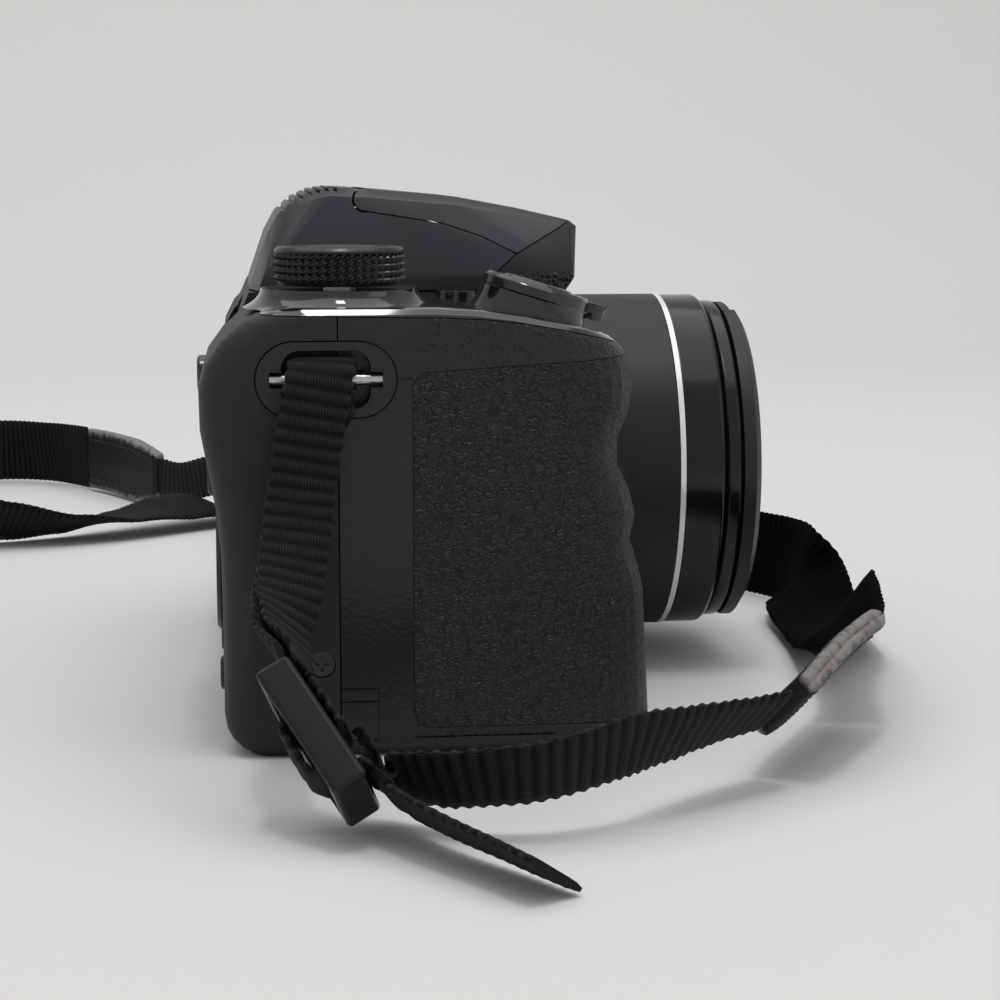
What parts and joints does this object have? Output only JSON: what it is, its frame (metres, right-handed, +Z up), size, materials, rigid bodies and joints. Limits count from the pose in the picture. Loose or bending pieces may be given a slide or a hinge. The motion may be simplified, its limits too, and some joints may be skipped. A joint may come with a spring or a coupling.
{
  "type": "bridge camera",
  "caption": "Bridge camera with a deep hand grip, fixed zoom lens under a pinch cap, mode dial, pop-up flash hump and a webbing neck strap.",
  "frame": {"origin": "mouth of the tripod socket in the base, below the lens axis", "axes": "+Z up out of the top plate, the lens looks along -Y, the hand grip is on -X"},
  "size_m": [0.3891, 0.2192, 0.0834],
  "materials": {
    "matte_black": "fine grain, matte",
    "gloss_black": "polished",
    "grip_rubber": "pebbled",
    "steel": "satin",
    "bright_trim": "bright",
    "clear": "clear",
    "board": "satin",
    "screen": "dark",
    "cell": "satin",
    "amber": "translucent",
    "webbing": "woven",
    "tab_leather": "grained"
  },
  "bodies": {
    "camera": {"front_cover": "matte_black", "rear_cover": "matte_black", "top_cover": "matte_black", "battery_box": "matte_black", "lug_plate_right": "matte_black", "lug_plate_left": "matte_black", "gloss_deck": "gloss_black", "lens_barrel": "gloss_black", "lcd_window": "gloss_black", "flash_capacitor": "gloss_black", "strap_buckle_right": "gloss_black", "strap_buckle_left": "gloss_black", "grip_skin": "grip_rubber", "flash_hinge_pin": "steel", "battery_contacts": "steel", "door_hinge_pin": "steel", "tripod_socket": "steel", "lug_bar_right": "steel", "lug_bar_left": "steel", "jack_socket": "steel", "case_screws": "steel", "lens_trim_ring": "bright_trim", "rear_lens": "clear", "image_sensor": "board", "main_board": "board", "key_board": "board", "lcd_panel": "screen", "battery_cells": "cell", "af_lamp": "amber", "strap_tail": "webbing", "strap_ply_right": "webbing", "strap_lead_right": "webbing", "neck_strap": "webbing", "strap_lead_left": "webbing", "strap_ply_left": "webbing", "strap_tab_right": "tab_leather", "strap_tab_left": "tab_leather"},
    "flash": {"flash_lid": "matte_black", "flash_window": "clear"},
    "flash_catch": {"flash_release": "gloss_black"},
    "dial": {"mode_dial": "matte_black", "dial_shaft": "steel"},
    "shutter": {"shutter_button": "gloss_black"},
    "zoom_ring": {"zoom_lever": "gloss_black"},
    "power": {"power_button": "gloss_black"},
    "zoom_mid": {"zoom_mid_tube": "gloss_black"},
    "zoom_front": {"zoom_front_tube": "gloss_black", "lens_bezel": "matte_black", "front_lens": "clear"},
    "cap": {"lens_cap": "matte_black"},
    "cap_pinch_upper": {"cap_tab_upper": "gloss_black"},
    "cap_pinch_lower": {"cap_tab_lower": "gloss_black"},
    "movie_key": {"movie_button": "gloss_black"},
    "play_key": {"play_button": "matte_black"},
    "menu_key": {"menu_button": "matte_black"},
    "delete_key": {"delete_button": "matte_black"},
    "pad": {"control_pad": "matte_black"},
    "centre_key": {"centre_button": "gloss_black"},
    "door": {"battery_door": "matte_black"},
    "jack_door": {"jack_cover": "matte_black"}
  },
  "joints": [
    {"name": "flash_hinge", "type": "hinge", "parent": "camera", "child": "flash", "pos_m": [0, 0.023, 0.08135], "axis": [-1, 0, 0], "range_deg": [0, 55]},
    {"name": "flash_catch_press", "type": "slide", "parent": "camera", "child": "flash_catch", "axis": [-1, 0, 0], "range_m": [0, 0.0008], "stiffness_N_per_m": 300},
    {"name": "dial_turn", "type": "hinge", "parent": "camera", "child": "dial", "pos_m": [-0.056, 0.0287, 0.06905], "axis": [0, 0, 1], "continuous": true},
    {"name": "shutter_press", "type": "slide", "parent": "camera", "child": "shutter", "axis": [0, 0.2924, -0.9563], "range_m": [0, 0.001], "stiffness_N_per_m": 300},
    {"name": "zoom_lever_turn", "type": "hinge", "parent": "camera", "child": "zoom_ring", "pos_m": [-0.054, -0.002, 0.0688], "axis": [0, -0.2924, 0.9563], "range_deg": [-25, 25], "stiffness_Nm_per_rad": 0.02},
    {"name": "power_press", "type": "slide", "parent": "camera", "child": "power", "axis": [0, 0, -1], "range_m": [0, 0.0005], "stiffness_N_per_m": 300},
    {"name": "zoom_mid_slide", "type": "slide", "parent": "camera", "child": "zoom_mid", "axis": [0, -1, 0], "range_m": [0, 0.014]},
    {"name": "zoom_front_slide", "type": "slide", "parent": "zoom_mid", "child": "zoom_front", "axis": [0, -1, 0], "range_m": [0, 0.014]},
    {"name": "cap_lift", "type": "slide", "parent": "zoom_front", "child": "cap", "axis": [0, -1, 0], "range_m": [0, 0.03]},
    {"name": "cap_pinch_upper_press", "type": "slide", "parent": "cap", "child": "cap_pinch_upper", "axis": [0, 0, -1], "range_m": [0, 0.0012], "stiffness_N_per_m": 300},
    {"name": "cap_pinch_lower_press", "type": "slide", "parent": "cap", "child": "cap_pinch_lower", "axis": [0, 0, 1], "range_m": [0, 0.0012], "stiffness_N_per_m": 300},
    {"name": "movie_press", "type": "slide", "parent": "camera", "child": "movie_key", "axis": [0, -1, 0], "range_m": [0, 0.0005], "stiffness_N_per_m": 300},
    {"name": "play_press", "type": "slide", "parent": "camera", "child": "play_key", "axis": [0, -1, 0], "range_m": [0, 0.0005], "stiffness_N_per_m": 300},
    {"name": "menu_press", "type": "slide", "parent": "camera", "child": "menu_key", "axis": [0, -1, 0], "range_m": [0, 0.0005], "stiffness_N_per_m": 300},
    {"name": "delete_press", "type": "slide", "parent": "camera", "child": "delete_key", "axis": [0, -1, 0], "range_m": [0, 0.0005], "stiffness_N_per_m": 300},
    {"name": "pad_rock", "type": "hinge", "parent": "camera", "child": "pad", "pos_m": [-0.047, 0.0458, 0.025], "axis": [1, 0, 0], "range_deg": [-2, 2], "stiffness_Nm_per_rad": 0.05},
    {"name": "centre_press", "type": "slide", "parent": "camera", "child": "centre_key", "axis": [0, -1, 0], "range_m": [0, 0.0005], "stiffness_N_per_m": 300},
    {"name": "door_hinge", "type": "hinge", "parent": "camera", "child": "door", "pos_m": [-0.03935, 0.0095, 0.0015], "axis": [0, -1, 0], "range_deg": [0, 90]},
    {"name": "jack_hinge", "type": "hinge", "parent": "camera", "child": "jack_door", "pos_m": [0.04725, 0.028, 0.024], "axis": [0, 0, 1], "range_deg": [0, 90]}
  ],
  "couplings": [
    {"joint": "zoom_front_slide", "follows": "zoom_mid_slide", "ratio": 1}
  ]
}
